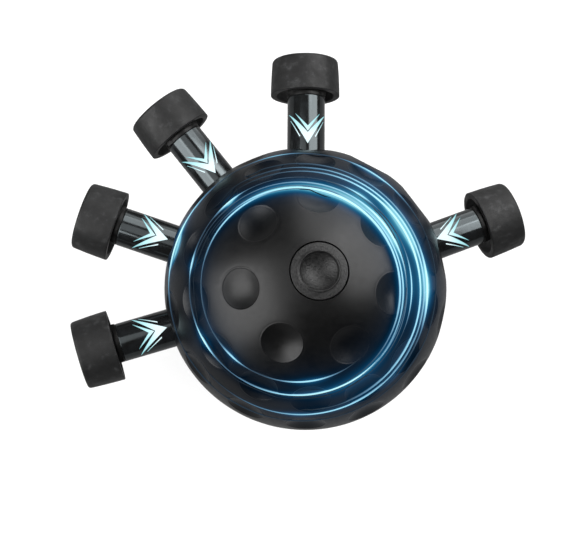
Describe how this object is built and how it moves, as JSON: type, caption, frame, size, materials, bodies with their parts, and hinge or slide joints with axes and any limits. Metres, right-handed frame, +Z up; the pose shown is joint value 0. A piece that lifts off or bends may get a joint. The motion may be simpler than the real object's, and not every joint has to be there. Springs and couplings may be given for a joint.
{
  "type": "hand grip strengthener",
  "caption": "Hand and finger grip strengthener: a dimpled ball with sprung stems round its middle, each ending in a rubber finger sleeve.",
  "frame": {"origin": "centre of the flat rear cap that the ball stands on", "axes": "+Z up through the ball's front cap, +Y along the index finger's stem within one degree, +X towards the thumb side"},
  "size_m": [0.1309, 0.1079, 0.0775],
  "materials": {
    "shell": "satin black ABS",
    "cap": "fine-grained black ABS",
    "stem": "high-gloss black ABS tube",
    "saddle": "black nylon",
    "rubber": "matte soft rubber",
    "hub": "grey ABS moulding",
    "bush": "natural acetal",
    "steel": "zinc plated",
    "spring": "drawn spring steel wire"
  },
  "bodies": {
    "ball": {"front_shell": "shell", "rear_shell": "shell", "front_cap": "cap", "rear_cap": "cap", "core_hub": "hub", "centre_screw": "steel", "centre_nut": "steel", "thumb_guide_bush": "bush", "thumb_guide_pin": "steel", "thumb_spring": "spring", "index_guide_bush": "bush", "index_guide_pin": "steel", "index_spring": "spring", "middle_guide_bush": "bush", "middle_guide_pin": "steel", "middle_spring": "spring", "ring_finger_guide_bush": "bush", "ring_finger_guide_pin": "steel", "ring_finger_spring": "spring", "little_guide_bush": "bush", "little_guide_pin": "steel", "little_spring": "spring"},
    "thumb_carrier": {"thumb_thrust_washer": "bush"},
    "thumb_plunger": {"thumb_stem": "stem", "thumb_saddle": "saddle", "thumb_sleeve": "rubber"},
    "index_carrier": {"index_thrust_washer": "bush"},
    "index_plunger": {"index_stem": "stem", "index_saddle": "saddle", "index_sleeve": "rubber"},
    "middle_carrier": {"middle_thrust_washer": "bush"},
    "middle_plunger": {"middle_stem": "stem", "middle_saddle": "saddle", "middle_sleeve": "rubber"},
    "ring_finger_carrier": {"ring_finger_thrust_washer": "bush"},
    "ring_finger_plunger": {"ring_finger_stem": "stem", "ring_finger_saddle": "saddle", "ring_finger_sleeve": "rubber"},
    "little_carrier": {"little_thrust_washer": "bush"},
    "little_plunger": {"little_stem": "stem", "little_saddle": "saddle", "little_sleeve": "rubber"}
  },
  "joints": [
    {"name": "thumb_press", "type": "slide", "parent": "ball", "child": "thumb_carrier", "axis": [0.9391, 0.3437, 0], "range_m": [-0.011, 0], "stiffness_N_per_m": 800, "springref_m": 0.001, "deforming": ["thumb_spring"]},
    {"name": "thumb_swivel", "type": "hinge", "parent": "thumb_carrier", "child": "thumb_plunger", "pos_m": [0.04526, 0.01656, 0.0382], "axis": [0.9391, 0.3437, 0], "continuous": true},
    {"name": "index_press", "type": "slide", "parent": "ball", "child": "index_carrier", "axis": [0.0175, 0.9998, 0], "range_m": [-0.011, 0], "stiffness_N_per_m": 800, "springref_m": 0.001, "deforming": ["index_spring"]},
    {"name": "index_swivel", "type": "hinge", "parent": "index_carrier", "child": "index_plunger", "pos_m": [0.00084, 0.04819, 0.0382], "axis": [0.0175, 0.9998, 0], "continuous": true},
    {"name": "middle_press", "type": "slide", "parent": "ball", "child": "middle_carrier", "axis": [-0.6198, 0.7848, 0], "range_m": [-0.011, 0], "stiffness_N_per_m": 800, "springref_m": 0.001, "deforming": ["middle_spring"]},
    {"name": "middle_swivel", "type": "hinge", "parent": "middle_carrier", "child": "middle_plunger", "pos_m": [-0.02987, 0.03783, 0.0382], "axis": [-0.6198, 0.7848, 0], "continuous": true},
    {"name": "ring_finger_press", "type": "slide", "parent": "ball", "child": "ring_finger_carrier", "axis": [-0.9461, 0.3239, 0], "range_m": [-0.011, 0], "stiffness_N_per_m": 800, "springref_m": 0.001, "deforming": ["ring_finger_spring"]},
    {"name": "ring_finger_swivel", "type": "hinge", "parent": "ring_finger_carrier", "child": "ring_finger_plunger", "pos_m": [-0.0456, 0.01561, 0.0382], "axis": [-0.9461, 0.3239, 0], "continuous": true},
    {"name": "little_press", "type": "slide", "parent": "ball", "child": "little_carrier", "axis": [-0.9603, -0.279, 0], "range_m": [-0.011, 0], "stiffness_N_per_m": 800, "springref_m": 0.001, "deforming": ["little_spring"]},
    {"name": "little_swivel", "type": "hinge", "parent": "little_carrier", "child": "little_plunger", "pos_m": [-0.04629, -0.01345, 0.0382], "axis": [-0.9603, -0.279, 0], "continuous": true}
  ]
}
